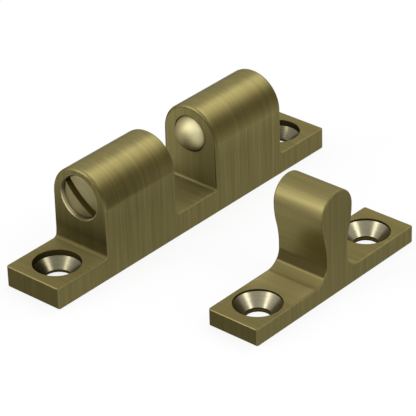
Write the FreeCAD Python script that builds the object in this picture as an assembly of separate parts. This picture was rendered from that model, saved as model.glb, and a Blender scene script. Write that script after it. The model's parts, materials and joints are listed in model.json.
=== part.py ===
import FreeCAD, Part
import math
import os

# Adjustable double ball catch with its strike. Millimetres, +Z away from the mounting face,
# +X along the catch. The origin is the middle of the catch's underside.

# Catch body
BODY_LENGTH = 60.0
BODY_WIDTH = 10.4
PLATE_THICKNESS = 3.5
GAP_WIDTH = 9.1
GAP_FLOOR_THICKNESS = 3.8
TOWER_LENGTH = 15.05
BORE_AXIS_HEIGHT = 11.8
CROWN_WALL = 1.1
TOWER_ROOT_FILLET = 0.6
GAP_ROOT_FILLET = 0.4
EDGE_BREAK = 0.25

# Countersunk screw holes
HEAD_DIAMETER = 7.25
CATCH_HOLE_DIAMETER = 4.3
CATCH_HEAD_DEPTH = 1.05
CATCH_HOLE_LAND = 0.45
STRIKE_HOLE_DIAMETER = 3.9
STRIKE_HEAD_DEPTH = 0.4
CONE_ANGLE = 90.0
UNDERSIDE_CONE_ANGLE = 120.0

# Balls in their seats
BALL_DIAMETER = 6.0
BALL_PROTRUSION = 1.85
BALL_CLEARANCE = 0.05
LIP_CONTACT = 0.6

# Tension screws in their threaded bores
THREAD_DIAMETER = 7.0
THREAD_CLEARANCE = 0.03
SCREW_LENGTH = 3.2
SCREW_RECESS = 0.45
SCREW_TRAVEL = 1.5
THREAD_RUNOUT = 0.5
SCREW_DOME = 0.35
SCREW_CHAMFER = 0.2
MOUTH_CHAMFER = 0.12
SLOT_WIDTH = 1.3
SLOT_DEPTH = 1.1
SLOT_ANGLE = 40.0

# Compression springs
SPRING_WIRE = 0.5
SPRING_MEAN_DIAMETER = 4.5
SPRING_ACTIVE_COILS = 3.0
SPRING_END_COILS = 0.5
SPRING_END_GAP = 0.04
SPRING_SEAT_CLEARANCE = 0.03

# Strike plate and its tongue
STRIKE_LENGTH = 35.7
STRIKE_WIDTH = 9.0
STRIKE_THICKNESS = 2.8
STRIKE_HOLE_END_DISTANCE = 5.5
STRIKE_HEIGHT = 16.75
BULB_DIAMETER = 6.7
NECK_WIDTH = 4.6
NECK_STRAIGHT = 0.6
TONGUE_ROOT_FILLET = 2.6
STRIKE_CLEAR_DISTANCE = 19.0
STRIKE_OFFSET = -1.9

# Places that follow from the sizes above
END_X = BODY_LENGTH / 2
HALF_WIDTH = BODY_WIDTH / 2
INNER_FACE_X = GAP_WIDTH / 2
OUTER_FACE_X = INNER_FACE_X + TOWER_LENGTH
TOWER_TOP = BORE_AXIS_HEIGHT + THREAD_DIAMETER / 2 + CROWN_WALL
ARCH_CENTRE_HEIGHT = TOWER_TOP - HALF_WIDTH
CATCH_HOLE_X = (OUTER_FACE_X + END_X) / 2
BALL_RADIUS = BALL_DIAMETER / 2
BALL_X = INNER_FACE_X + BALL_RADIUS - BALL_PROTRUSION
LIP_RADIUS = math.sqrt((BALL_RADIUS + BALL_CLEARANCE) ** 2 - LIP_CONTACT ** 2)
LIP_SLOPE = LIP_CONTACT / LIP_RADIUS
BORE_RADIUS = LIP_RADIUS + LIP_SLOPE * LIP_CONTACT
MOUTH_RADIUS = LIP_RADIUS - LIP_SLOPE * (BALL_RADIUS - BALL_PROTRUSION - LIP_CONTACT)
THREAD_DEPTH = SCREW_RECESS + SCREW_LENGTH + SCREW_TRAVEL + THREAD_RUNOUT
SCREW_RADIUS = THREAD_DIAMETER / 2 - THREAD_CLEARANCE
SCREW_RIM_X = OUTER_FACE_X - SCREW_RECESS
SCREW_INNER_X = SCREW_RIM_X - SCREW_LENGTH
STRIKE_Y = -(HALF_WIDTH + STRIKE_CLEAR_DISTANCE + STRIKE_WIDTH / 2)
STRIKE_HOLE_X = STRIKE_LENGTH / 2 - STRIKE_HOLE_END_DISTANCE

X_AXIS = FreeCAD.Vector(1, 0, 0)
Y_AXIS = FreeCAD.Vector(0, 1, 0)
Z_AXIS = FreeCAD.Vector(0, 0, 1)
ORIGIN = FreeCAD.Vector(0, 0, 0)
SHARP_ANGLE = math.radians(10)
STEPS_PER_TURN = 8
WIRE_SIDES = 6


def vector(x, y, z):
    return FreeCAD.Vector(x, y, z)


def line(start, end):
    return Part.LineSegment(start, end).toShape()


def arc_through(start, middle, end):
    return Part.Arc(start, middle, end).toShape()


def arc_about(centre, radius, first, last):
    """An arc in the XZ plane, between two angles in degrees from +X towards +Z."""
    points = []
    for angle in (first, (first + last) / 2, last):
        turn = math.radians(angle)
        points.append(vector(centre[0] + radius * math.cos(turn), 0, centre[1] + radius * math.sin(turn)))
    return arc_through(*points)


def face_of(edges):
    return Part.Face(Part.Wire(Part.__sortEdges__(edges)))


def x_cylinder(radius, start, length):
    """A cylinder along +X on the bore axis."""
    return Part.makeCylinder(radius, length, vector(start, 0, BORE_AXIS_HEIGHT), X_AXIS)


def x_cone(first_radius, last_radius, start, length):
    """A cone along +X on the bore axis."""
    return Part.makeCone(first_radius, last_radius, length, vector(start, 0, BORE_AXIS_HEIGHT), X_AXIS)


def arch_section():
    """The bar that the towers are cut from: straight sides and a half-round top, along X."""
    low_left = vector(-END_X, -HALF_WIDTH, 0)
    low_right = vector(-END_X, HALF_WIDTH, 0)
    spring_left = vector(-END_X, -HALF_WIDTH, ARCH_CENTRE_HEIGHT)
    spring_right = vector(-END_X, HALF_WIDTH, ARCH_CENTRE_HEIGHT)
    crown = vector(-END_X, 0, TOWER_TOP)
    edges = [
        line(low_left, low_right),
        line(low_right, spring_right),
        arc_through(spring_right, crown, spring_left),
        line(spring_left, low_left),
    ]
    return face_of(edges).extrude(X_AXIS * BODY_LENGTH)


def side_outline():
    """The body seen from the front: the plate, the two towers and the gap between them."""
    corners = [
        (-END_X, 0, 0),
        (END_X, 0, 0),
        (END_X, PLATE_THICKNESS, 0),
        (OUTER_FACE_X, PLATE_THICKNESS, TOWER_ROOT_FILLET),
        (OUTER_FACE_X, TOWER_TOP, 0),
        (INNER_FACE_X, TOWER_TOP, 0),
        (INNER_FACE_X, GAP_FLOOR_THICKNESS, GAP_ROOT_FILLET),
        (-INNER_FACE_X, GAP_FLOOR_THICKNESS, GAP_ROOT_FILLET),
        (-INNER_FACE_X, TOWER_TOP, 0),
        (-OUTER_FACE_X, TOWER_TOP, 0),
        (-OUTER_FACE_X, PLATE_THICKNESS, TOWER_ROOT_FILLET),
        (-END_X, PLATE_THICKNESS, 0),
    ]
    return filleted_polygon(corners)


def filleted_polygon(corners):
    """A closed outline at the body's front face. Each corner is (x, z, fillet radius), square to the axes."""
    y = -HALF_WIDTH
    edges = []
    previous = None
    first = None
    count = len(corners)
    for index, (x, z, radius) in enumerate(corners):
        before = corners[index - 1]
        after = corners[(index + 1) % count]
        here = vector(x, y, z)
        if radius:
            to_before = (vector(before[0], y, before[1]) - here).normalize()
            to_after = (vector(after[0], y, after[1]) - here).normalize()
            start = here + to_before * radius
            end = here + to_after * radius
            centre = here + (to_before + to_after) * radius
            middle = centre + (here - centre).normalize() * radius
        else:
            start = here
            end = here
        if previous is not None:
            edges.append(line(previous, start))
        else:
            first = start
        if radius:
            edges.append(arc_through(start, middle, end))
        previous = end
    edges.append(line(previous, first))
    return face_of(edges)


def countersunk_hole(x, thickness, hole_diameter, head_depth):
    """Tool for a screw hole from the top: a straight head recess, a cone and a clear hole."""
    head = HEAD_DIAMETER / 2
    hole = hole_diameter / 2
    cone_depth = (head - hole) / math.tan(math.radians(CONE_ANGLE / 2))
    recess = Part.makeCylinder(head, thickness, vector(x, 0, thickness - head_depth), Z_AXIS)
    cone = Part.makeCone(hole, head, cone_depth, vector(x, 0, thickness - head_depth - cone_depth), Z_AXIS)
    shank = Part.makeCylinder(hole, thickness, vector(x, 0, 0), Z_AXIS)
    return recess.fuse([cone, shank])


def underside_relief(x):
    """Tool for the flare under a catch screw hole, which leaves a short straight land in the hole."""
    hole = CATCH_HOLE_DIAMETER / 2
    cone_depth = (HEAD_DIAMETER / 2 - hole) / math.tan(math.radians(CONE_ANGLE / 2))
    flare_height = PLATE_THICKNESS - CATCH_HEAD_DEPTH - cone_depth - CATCH_HOLE_LAND
    mouth = hole + flare_height * math.tan(math.radians(UNDERSIDE_CONE_ANGLE / 2))
    return Part.makeCone(mouth, hole, flare_height, vector(x, 0, 0), Z_AXIS)


def tower_bore():
    """Tool for the right tower's bore: threaded from outside, then smooth, with a tapered lip that
    holds the ball in. The lip is tangent to a sphere a clearance larger than the ball."""
    depth = BALL_RADIUS - BALL_PROTRUSION
    thread = x_cylinder(THREAD_DIAMETER / 2, OUTER_FACE_X - THREAD_DEPTH, THREAD_DEPTH)
    smooth = x_cylinder(BORE_RADIUS, BALL_X, OUTER_FACE_X - THREAD_DEPTH - BALL_X)
    lip = x_cone(MOUTH_RADIUS, BORE_RADIUS, BALL_X - depth, depth)
    chamfer = x_cone(
        THREAD_DIAMETER / 2,
        THREAD_DIAMETER / 2 + MOUTH_CHAMFER,
        OUTER_FACE_X - MOUTH_CHAMFER,
        MOUTH_CHAMFER,
    )
    return smooth.fuse([thread, lip, chamfer])


def mirrored(shape):
    """The same piece on the other side of the gap."""
    return shape.mirror(ORIGIN, X_AXIS)


def is_sharp(shape, edge):
    """True where the two faces beside an edge meet at an angle."""
    middle = edge.valueAt((edge.FirstParameter + edge.LastParameter) / 2)
    normals = []
    for face in shape.ancestorsOfType(edge, Part.Face):
        u, v = face.Surface.parameter(middle)
        normals.append(face.normalAt(u, v))
    return len(normals) == 2 and normals[0].getAngle(normals[1]) > SHARP_ANGLE


def break_sharp_edges(shape):
    return shape.makeChamfer(EDGE_BREAK, [edge for edge in shape.Edges if is_sharp(shape, edge)])


def catch_body():
    solid = side_outline().extrude(Y_AXIS * BODY_WIDTH).common(arch_section())
    solid = break_sharp_edges(solid)
    tools = [tower_bore(), mirrored(tower_bore())]
    for x in (-CATCH_HOLE_X, CATCH_HOLE_X):
        tools.append(countersunk_hole(x, PLATE_THICKNESS, CATCH_HOLE_DIAMETER, CATCH_HEAD_DEPTH))
        tools.append(underside_relief(x))
    return solid.cut(tools)


def right_ball():
    return Part.makeSphere(BALL_RADIUS, vector(BALL_X, 0, BORE_AXIS_HEIGHT))


def right_tension_screw():
    """A headless slotted screw with a slightly domed outer face, turned about the bore axis."""
    rim = SCREW_RADIUS - SCREW_CHAMFER
    axis_height = BORE_AXIS_HEIGHT
    inner = SCREW_INNER_X
    outer = SCREW_RIM_X
    points = [
        vector(inner, 0, axis_height),
        vector(inner, 0, axis_height + rim),
        vector(inner + SCREW_CHAMFER, 0, axis_height + SCREW_RADIUS),
        vector(outer - SCREW_CHAMFER, 0, axis_height + SCREW_RADIUS),
        vector(outer, 0, axis_height + rim),
    ]
    crown = vector(outer + SCREW_DOME, 0, axis_height)
    dome_radius = (rim ** 2 + SCREW_DOME ** 2) / (2 * SCREW_DOME)
    dome_centre_x = outer + SCREW_DOME - dome_radius
    half_turn = math.asin(rim / dome_radius) / 2
    on_dome = vector(
        dome_centre_x + dome_radius * math.cos(half_turn),
        0,
        axis_height + dome_radius * math.sin(half_turn),
    )
    edges = [line(points[i], points[i + 1]) for i in range(len(points) - 1)]
    edges.append(arc_through(points[-1], on_dome, crown))
    edges.append(line(crown, points[0]))
    turned = face_of(edges).revolve(points[0], X_AXIS, 360)
    return turned.cut(screw_slot())


def screw_slot():
    """Tool for the slot right across the outer face, turned about the bore axis."""
    across = 2 * THREAD_DIAMETER
    depth = SLOT_DEPTH + SCREW_DOME
    corner = vector(SCREW_RIM_X - SLOT_DEPTH, -across / 2, BORE_AXIS_HEIGHT - SLOT_WIDTH / 2)
    slot = Part.makeBox(depth + SCREW_RECESS, across, SLOT_WIDTH, corner)
    slot.rotate(vector(0, 0, BORE_AXIS_HEIGHT), X_AXIS, SLOT_ANGLE)
    return slot


def coil_height(turn, length):
    """How far along its axis the wire is after some turns: closed end coils and open middle coils."""
    end_pitch = SPRING_WIRE + SPRING_END_GAP
    end_length = end_pitch * SPRING_END_COILS
    active_pitch = (length - 2 * end_length) / SPRING_ACTIVE_COILS
    opened = min(max(turn - SPRING_END_COILS, 0), SPRING_ACTIVE_COILS)
    return end_pitch * (turn - opened) + active_pitch * opened


def wire_section(centre, along):
    """The wire's section at its first end, a regular polygon with its corners on the round wire."""
    sideways = along.cross(Y_AXIS).normalize()
    corners = []
    for corner in range(WIRE_SIDES + 1):
        angle = 2 * math.pi * corner / WIRE_SIDES
        outwards = Y_AXIS * math.cos(angle) + sideways * math.sin(angle)
        corners.append(centre + outwards * (SPRING_WIRE / 2))
    return Part.makePolygon(corners)


def right_spring():
    """A round-wire coil between the back of the ball and the inner end of the tension screw."""
    coil_radius = SPRING_MEAN_DIAMETER / 2
    wire = SPRING_WIRE / 2
    reach = BALL_RADIUS + wire + SPRING_SEAT_CLEARANCE
    start = BALL_X + math.sqrt(reach ** 2 - coil_radius ** 2)
    length = SCREW_INNER_X - wire - SPRING_SEAT_CLEARANCE - start
    turns = 2 * SPRING_END_COILS + SPRING_ACTIVE_COILS
    steps = round(turns * STEPS_PER_TURN)
    points = []
    for step in range(steps + 1):
        turn = turns * step / steps
        angle = 2 * math.pi * turn
        across = coil_radius * math.cos(angle)
        up = BORE_AXIS_HEIGHT + coil_radius * math.sin(angle)
        points.append(vector(start + coil_height(turn, length), across, up))
    path = Part.BSplineCurve()
    path.interpolate(points)
    section = wire_section(points[0], path.tangent(path.FirstParameter)[0])
    return Part.Wire(path.toShape()).makePipeShell([section], True, True)


def tongue_flank():
    """The right side of the tongue: root fillet, hollow neck, swelling and half the bulb, in the XZ plane.

    Two equal arcs join the neck to the widest part of the bulb, upright at both ends."""
    bulb = BULB_DIAMETER / 2
    bulb_height = STRIKE_HEIGHT - bulb
    neck = NECK_WIDTH / 2
    swelling = bulb - neck
    root_x = neck + TONGUE_ROOT_FILLET
    root_height = STRIKE_THICKNESS + TONGUE_ROOT_FILLET
    neck_height = root_height + NECK_STRAIGHT
    rise = bulb_height - neck_height
    radius = (swelling ** 2 + rise ** 2) / (4 * swelling)
    lean = math.degrees(math.asin(rise / (2 * radius)))
    edges = [
        arc_about((root_x, root_height), TONGUE_ROOT_FILLET, 270, 180),
        line(vector(neck, 0, root_height), vector(neck, 0, neck_height)),
        arc_about((neck + radius, neck_height), radius, 180, 180 - lean),
        arc_about((bulb - radius, bulb_height), radius, -lean, 0),
        arc_about((0, bulb_height), bulb, 0, 90),
    ]
    return edges, root_x


def strike():
    """The plate and its bulbous tongue, drawn out across the width, with two countersunk holes."""
    flank, root_x = tongue_flank()
    half_length = STRIKE_LENGTH / 2
    right = flank + [
        line(vector(root_x, 0, STRIKE_THICKNESS), vector(half_length, 0, STRIKE_THICKNESS)),
        line(vector(half_length, 0, STRIKE_THICKNESS), vector(half_length, 0, 0)),
        line(vector(half_length, 0, 0), ORIGIN),
    ]
    left = [mirrored(edge) for edge in right]
    solid = face_of(right + left).extrude(Y_AXIS * STRIKE_WIDTH)
    solid.translate(Y_AXIS * (-STRIKE_WIDTH / 2))
    solid = break_sharp_edges(solid)
    holes = [
        countersunk_hole(x, STRIKE_THICKNESS, STRIKE_HOLE_DIAMETER, STRIKE_HEAD_DEPTH)
        for x in (-STRIKE_HOLE_X, STRIKE_HOLE_X)
    ]
    solid = solid.cut(holes)
    solid.translate(vector(STRIKE_OFFSET, STRIKE_Y, 0))
    return solid


def write_parts():
    """One STEP file for each piece."""
    os.makedirs("parts", exist_ok=True)
    pieces = {
        "catch_body": catch_body(),
        "right_ball": right_ball(),
        "left_ball": mirrored(right_ball()),
        "right_spring": right_spring(),
        "left_spring": mirrored(right_spring()),
        "right_tension_screw": right_tension_screw(),
        "left_tension_screw": mirrored(right_tension_screw()),
        "strike": strike(),
    }
    for name, shape in pieces.items():
        shape.exportStep("parts/" + name + ".step")


write_parts()
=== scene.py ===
import json
import math

import bmesh
import bpy
from mathutils import Matrix, Vector
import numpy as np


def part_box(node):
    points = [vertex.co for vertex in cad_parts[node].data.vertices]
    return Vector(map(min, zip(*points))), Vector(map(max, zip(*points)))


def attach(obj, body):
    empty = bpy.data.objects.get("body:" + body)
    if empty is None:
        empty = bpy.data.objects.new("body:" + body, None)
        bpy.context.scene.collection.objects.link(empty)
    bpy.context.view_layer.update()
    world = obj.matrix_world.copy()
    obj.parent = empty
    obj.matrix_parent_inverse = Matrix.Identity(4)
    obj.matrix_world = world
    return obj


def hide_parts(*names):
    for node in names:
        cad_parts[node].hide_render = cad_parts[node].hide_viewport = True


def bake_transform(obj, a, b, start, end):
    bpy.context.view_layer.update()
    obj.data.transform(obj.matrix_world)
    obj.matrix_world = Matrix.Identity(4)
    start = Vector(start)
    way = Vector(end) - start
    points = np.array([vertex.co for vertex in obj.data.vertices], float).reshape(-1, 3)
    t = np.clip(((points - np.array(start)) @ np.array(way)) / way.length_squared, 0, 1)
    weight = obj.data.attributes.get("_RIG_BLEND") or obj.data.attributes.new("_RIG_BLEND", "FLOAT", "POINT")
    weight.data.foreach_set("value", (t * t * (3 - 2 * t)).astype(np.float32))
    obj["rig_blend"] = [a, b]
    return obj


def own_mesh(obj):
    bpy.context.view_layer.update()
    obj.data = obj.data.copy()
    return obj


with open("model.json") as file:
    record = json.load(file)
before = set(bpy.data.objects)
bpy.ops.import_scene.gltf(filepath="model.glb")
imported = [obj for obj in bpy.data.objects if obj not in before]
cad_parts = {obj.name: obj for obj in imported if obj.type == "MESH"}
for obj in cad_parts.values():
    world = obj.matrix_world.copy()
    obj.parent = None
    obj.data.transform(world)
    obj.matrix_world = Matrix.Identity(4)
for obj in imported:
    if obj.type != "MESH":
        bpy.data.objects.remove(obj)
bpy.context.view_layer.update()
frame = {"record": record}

SCENE = bpy.context.scene
MM = 0.001
OVERSHOOT = 1.0 * MM

# Distances in metres that count as none
NEAR = 1e-6
MERGE_DISTANCE = 1e-8
SAME_POINT = 1e-9

# Places read from the frame
_, CATCH_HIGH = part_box("catch_body")
STRIKE_LOW, STRIKE_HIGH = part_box("strike")
BALL_LOW, BALL_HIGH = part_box("right_ball")
SCREW_LOW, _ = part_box("right_tension_screw")
SPRING_LOW, SPRING_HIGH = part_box("right_spring")
MOUNTS = {mount["name"]: mount for mount in frame["record"]["mounts"]}
CATCH_HOLE_X = MOUNTS["catch_screw_holes"]["dims"]["spacing_x_mm"] / 2 * MM
CATCH_HOLE_R = MOUNTS["catch_screw_holes"]["dims"]["hole_r_mm"] * MM
CATCH_HOLES = [(-CATCH_HOLE_X, 0.0), (CATCH_HOLE_X, 0.0)]
STRIKE_HOLE_X = MOUNTS["strike_screw_holes"]["dims"]["spacing_x_mm"] / 2 * MM
STRIKE_HOLE_R = MOUNTS["strike_screw_holes"]["dims"]["hole_r_mm"] * MM

# The catch, in metres
END_X = CATCH_HIGH.x
HALF_WIDTH = CATCH_HIGH.y
TOWER_TOP = CATCH_HIGH.z
ARCH_Z = TOWER_TOP - HALF_WIDTH
BORE_Z = (BALL_LOW.z + BALL_HIGH.z) / 2
PLATE = 3.5 * MM
GAP_FLOOR = 3.8 * MM
INNER_X = 4.55 * MM
OUTER_X = 19.6 * MM
TOWER_ROOT = 0.6 * MM
GAP_ROOT = 0.4 * MM
ARCH_ROUND = 0.45 * MM
EDGE_ROUND = 0.25 * MM
CORNER_ROUND = 0.45 * MM
RIM_ROUND = 0.09 * MM
HEAD_R = 3.625 * MM
CATCH_HEAD_DEPTH = 1.05 * MM
CATCH_LAND = 0.45 * MM
RELIEF_SLOPE = math.tan(math.radians(60))
STRIKE_HEAD_DEPTH = 0.4 * MM

# The bore, the ball, the spring and the tension screw
BALL_R = (BALL_HIGH.z - BALL_LOW.z) / 2
BALL_X = BALL_LOW.x + BALL_R
LIP_MOUTH_R = 2.88 * MM
BORE_R = 3.11 * MM
THREAD_R = 3.5 * MM
THREAD_INNER_X = 13.95 * MM
MOUTH_CHAMFER = 0.12 * MM
MOUTH_DEPTH = 1.0 * MM
SCREW_R = 3.47 * MM
SCREW_RIM_X = 19.15 * MM
SCREW_DOME = 0.33 * MM
SCREW_CHAMFER = 0.2 * MM
SCREW_RIM_R = SCREW_R - SCREW_CHAMFER
DOME_R = (SCREW_RIM_R ** 2 + SCREW_DOME ** 2) / (2 * SCREW_DOME)
THREAD_PITCH = 0.75 * MM
THREAD_DEPTH = 0.4 * MM
THREAD_STEEPNESS = 2.0
THREAD_ROOT_FLAT = 0.25
SLOT_WIDTH = 1.3 * MM
SLOT_DEPTH = 1.1 * MM
SLOT_ANGLE = math.radians(40)
SLOT_ROUND = 0.06 * MM
SLOT_CORNER_DEGREES = 50
SLIVER = 0.004 * MM
WIRE_R = 0.25 * MM
COIL_R = 2.25 * MM
SPRING_MIDDLE = (SPRING_LOW.x + SPRING_HIGH.x) / 2
SPRING_SPLIT = 0.005 * MM
ACTIVE_COILS = 3.0
END_COILS = 0.5
END_COIL_GAP = 0.04 * MM

# The strike
STRIKE_X = (STRIKE_LOW.x + STRIKE_HIGH.x) / 2
STRIKE_Y = (STRIKE_LOW.y + STRIKE_HIGH.y) / 2
STRIKE_HALF_LENGTH = (STRIKE_HIGH.x - STRIKE_LOW.x) / 2
STRIKE_HALF_WIDTH = (STRIKE_HIGH.y - STRIKE_LOW.y) / 2
STRIKE_TOP = STRIKE_HIGH.z
STRIKE_PLATE = 2.8 * MM
BULB_R = 3.35 * MM
NECK = 2.3 * MM
NECK_Z = 6.0 * MM
ROOT_R = 2.6 * MM
STRIKE_HOLES = [(STRIKE_X - STRIKE_HOLE_X, STRIKE_Y), (STRIKE_X + STRIKE_HOLE_X, STRIKE_Y)]

# Mesh fineness
ARC_STEPS = 40
FILLET_STEPS = 8
TONGUE_STEPS = 16
ROUND_SEGMENTS = 4
RIM_SEGMENTS = 2
TURNED_SEGMENTS = 128
BALL_STEPS = 64
THREAD_ROWS = 64
DOME_ROWS = 12
COIL_STEPS = 48
WIRE_SIDES = 16
TANGENT_STEP = 0.01
NORMAL_WEIGHT = 80

# How far a face's normal leans along an axis, from 0 for across it to 1 for straight along it
FLAT = 0.985
PLAIN = 0.95
FACING = 0.9
ENDWARDS = 0.75
SIDEWAYS = 0.7
LEANING = 0.3
UPRIGHT = 0.2
ACROSS = 0.1

# How far the brush lines of some faces are shifted, so that no two faces show the same ones
HOLE_SHIFT = 40 * MM
BORE_SHIFT = 80 * MM
CATCH_END_SHIFT = 120 * MM
STRIKE_END_SHIFT = 160 * MM
STRIKE_FRONT_SHIFT = 200 * MM
STRIKE_OUTLINE_SHIFT = 240 * MM


def arc(centre_x, centre_y, radius, first, last, steps):
    """Points of an arc between two angles in degrees."""
    points = []
    for step in range(steps + 1):
        angle = math.radians(first + (last - first) * step / steps)
        points.append((centre_x + radius * math.cos(angle), centre_y + radius * math.sin(angle)))
    return points


def without_repeats(points):
    """The outline with each point that repeats the one before it left out."""
    kept = []
    for point in points:
        if not kept or math.dist(point, kept[-1]) > SAME_POINT:
            kept.append(point)
    if math.dist(kept[0], kept[-1]) < SAME_POINT:
        kept.pop()
    return kept


def new_object(name, mesh_builder):
    """A new object whose mesh is filled by mesh_builder(bm)."""
    mesh = bpy.data.meshes.new(name)
    bm = bmesh.new()
    mesh_builder(bm)
    bmesh.ops.remove_doubles(bm, verts=bm.verts, dist=MERGE_DISTANCE)
    bmesh.ops.recalc_face_normals(bm, faces=bm.faces)
    bm.to_mesh(mesh)
    bm.free()
    obj = bpy.data.objects.new(name, mesh)
    SCENE.collection.objects.link(obj)
    return obj


def prism(name, outline, place, depth):
    """A closed outline carried along a straight line. place(point) gives a point of the first face."""
    def build(bm):
        first = [bm.verts.new(place(point)) for point in outline]
        last = [bm.verts.new(place(point) + depth) for point in outline]
        bm.faces.new(first)
        bm.faces.new(last)
        for index in range(len(outline)):
            after = (index + 1) % len(outline)
            bm.faces.new((first[index], first[after], last[after], last[index]))
    return new_object(name, build)


def turned(name, profile, place):
    """A profile of (along, radius) turned about an axis. place(along, radius, angle) gives the point."""
    def build(bm):
        rings = []
        for along, radius in profile:
            if radius < SAME_POINT:
                rings.append([bm.verts.new(place(along, 0, 0))])
            else:
                rings.append([bm.verts.new(place(along, radius, angle)) for angle in ring_angles()])
        join_rings(bm, rings)
        for ring in (rings[0], rings[-1]):
            if len(ring) > 1:
                bm.faces.new(ring)
    return new_object(name, build)


def ring_angles():
    """The angles of the points in one ring of a turned shape."""
    return [2 * math.pi / TURNED_SEGMENTS * index for index in range(TURNED_SEGMENTS)]


def join_rings(bm, rings):
    """Faces between each ring and the one after it."""
    for ring, after in zip(rings, rings[1:]):
        bridge(bm, ring, after)


def bridge(bm, ring, after):
    """Faces between two rings, either of which may be a single point."""
    count = max(len(ring), len(after))
    for index in range(count):
        following = (index + 1) % count
        if len(ring) == 1:
            bm.faces.new((ring[0], after[following], after[index]))
        elif len(after) == 1:
            bm.faces.new((ring[index], ring[following], after[0]))
        else:
            bm.faces.new((ring[index], ring[following], after[following], after[index]))


def along_x(centre_z):
    """Placing for a shape turned about a line along X at a height."""
    return lambda along, radius, angle: Vector(
        (along, radius * math.cos(angle), centre_z + radius * math.sin(angle))
    )


def along_z(centre_x, centre_y):
    """Placing for a shape turned about an upright line."""
    return lambda along, radius, angle: Vector(
        (centre_x + radius * math.cos(angle), centre_y + radius * math.sin(angle), along)
    )


def settle(obj):
    """Makes the object's modifiers part of its mesh."""
    evaluated = obj.evaluated_get(bpy.context.evaluated_depsgraph_get())
    mesh = bpy.data.meshes.new_from_object(evaluated)
    obj.modifiers.clear()
    old = obj.data
    obj.data = mesh
    bpy.data.meshes.remove(old)


def combine(obj, tool, operation):
    """Boolean of the object with a tool, which is then removed."""
    modifier = obj.modifiers.new("cut", "BOOLEAN")
    modifier.operation = operation
    modifier.solver = "EXACT"
    modifier.object = tool
    settle(obj)
    bpy.data.objects.remove(tool)


def round_edges(obj, width_of, segments):
    """Rounds each edge by the width that width_of(edge) gives. A width of 0 leaves it sharp."""
    bm = bmesh.new()
    bm.from_mesh(obj.data)
    layers = bm.edges.layers.float
    layer = layers.get("bevel_weight_edge") or layers.new("bevel_weight_edge")
    widths = [width_of(edge) for edge in bm.edges]
    widest = max(widths)
    for edge, width in zip(bm.edges, widths):
        edge[layer] = width / widest
    bm.to_mesh(obj.data)
    bm.free()
    modifier = obj.modifiers.new("round", "BEVEL")
    modifier.limit_method = "WEIGHT"
    modifier.offset_type = "OFFSET"
    modifier.width = widest
    modifier.segments = segments
    modifier.profile = 0.5
    modifier.use_clamp_overlap = False
    modifier.miter_outer = "MITER_ARC"
    settle(obj)


def drop_slivers(obj):
    """Merges points closer than SLIVER and removes the faces that this leaves without area."""
    bm = bmesh.new()
    bm.from_mesh(obj.data)
    bmesh.ops.remove_doubles(bm, verts=bm.verts, dist=SLIVER)
    bmesh.ops.dissolve_degenerate(bm, edges=bm.edges, dist=SLIVER)
    bm.to_mesh(obj.data)
    bm.free()


def is_corner(edge, degrees=30):
    """True where the two faces of an edge meet at more than an angle."""
    return len(edge.link_faces) == 2 and edge.calc_face_angle() > math.radians(degrees)


def is_upright(edge):
    """True for an edge that runs more or less along Z."""
    return abs(edge.verts[0].co.z - edge.verts[1].co.z) > FACING * edge.calc_length()


def edge_middle(edge):
    """The point halfway along an edge."""
    return (edge.verts[0].co + edge.verts[1].co) / 2


def smooth(obj, degrees=35):
    """Smooth shading, with flat faces kept flat next to their rounded edges."""
    obj.data.shade_smooth()
    obj.data.set_sharp_from_angle(angle=math.radians(degrees))
    modifier = obj.modifiers.new("flat_faces", "WEIGHTED_NORMAL")
    modifier.keep_sharp = True
    modifier.weight = NORMAL_WEIGHT


def catch_side_outline():
    """The catch seen from the front, as (x, z)."""
    right = [
        (END_X, 0),
        (END_X, PLATE),
        *arc(OUTER_X + TOWER_ROOT, PLATE + TOWER_ROOT, TOWER_ROOT, 270, 180, FILLET_STEPS),
        (OUTER_X, TOWER_TOP + OVERSHOOT),
        (INNER_X, TOWER_TOP + OVERSHOOT),
        *arc(INNER_X - GAP_ROOT, GAP_FLOOR + GAP_ROOT, GAP_ROOT, 0, -90, FILLET_STEPS),
    ]
    left = [(-x, z) for x, z in reversed(right)]
    return without_repeats(right + left)


def countersink(x, y, plate, hole_r, head_depth, land=None):
    """Tool for a screw hole, from above the plate to below it. With land, the underside is relieved."""
    cone_bottom = plate - head_depth - (HEAD_R - hole_r)
    profile = [(plate + OVERSHOOT, HEAD_R), (plate - head_depth, HEAD_R), (cone_bottom, hole_r)]
    if land:
        flare = cone_bottom - land
        profile += [(flare, hole_r), (-OVERSHOOT, hole_r + (flare + OVERSHOOT) * RELIEF_SLOPE)]
    else:
        profile.append((-OVERSHOOT, hole_r))
    return turned("hole_tool", profile, along_z(x, y))


def bore_tool(side):
    """Tool for one tower's bore, with the tapered lip round the ball and the threaded outer end."""
    profile = [
        (INNER_X - OVERSHOOT, LIP_MOUTH_R),
        (INNER_X, LIP_MOUTH_R),
        (BALL_X, BORE_R),
        (THREAD_INNER_X, BORE_R),
        (THREAD_INNER_X, THREAD_R),
        (OUTER_X - MOUTH_DEPTH, THREAD_R),
        (OUTER_X - MOUTH_CHAMFER, THREAD_R),
        (OUTER_X, THREAD_R + MOUTH_CHAMFER),
        (OUTER_X + OVERSHOOT, THREAD_R + MOUTH_CHAMFER),
    ]
    return turned("bore_tool", [(side * along, radius) for along, radius in profile], along_x(BORE_Z))


def catch_edge_width(edge):
    """How round each edge of the catch is: the towers' arched edges more than the rest."""
    if not is_corner(edge):
        return 0.0
    middle = edge_middle(edge)
    on_face = min(abs(abs(middle.x) - OUTER_X), abs(abs(middle.x) - INNER_X)) < NEAR
    if abs(abs(middle.x) - END_X) < NEAR and is_upright(edge):
        return CORNER_ROUND
    if not on_face:
        return EDGE_ROUND
    rise = (middle.z - PLATE) / (ARCH_Z - PLATE)
    return EDGE_ROUND + (ARCH_ROUND - EDGE_ROUND) * min(max(rise, 0.0), 1.0)


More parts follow.
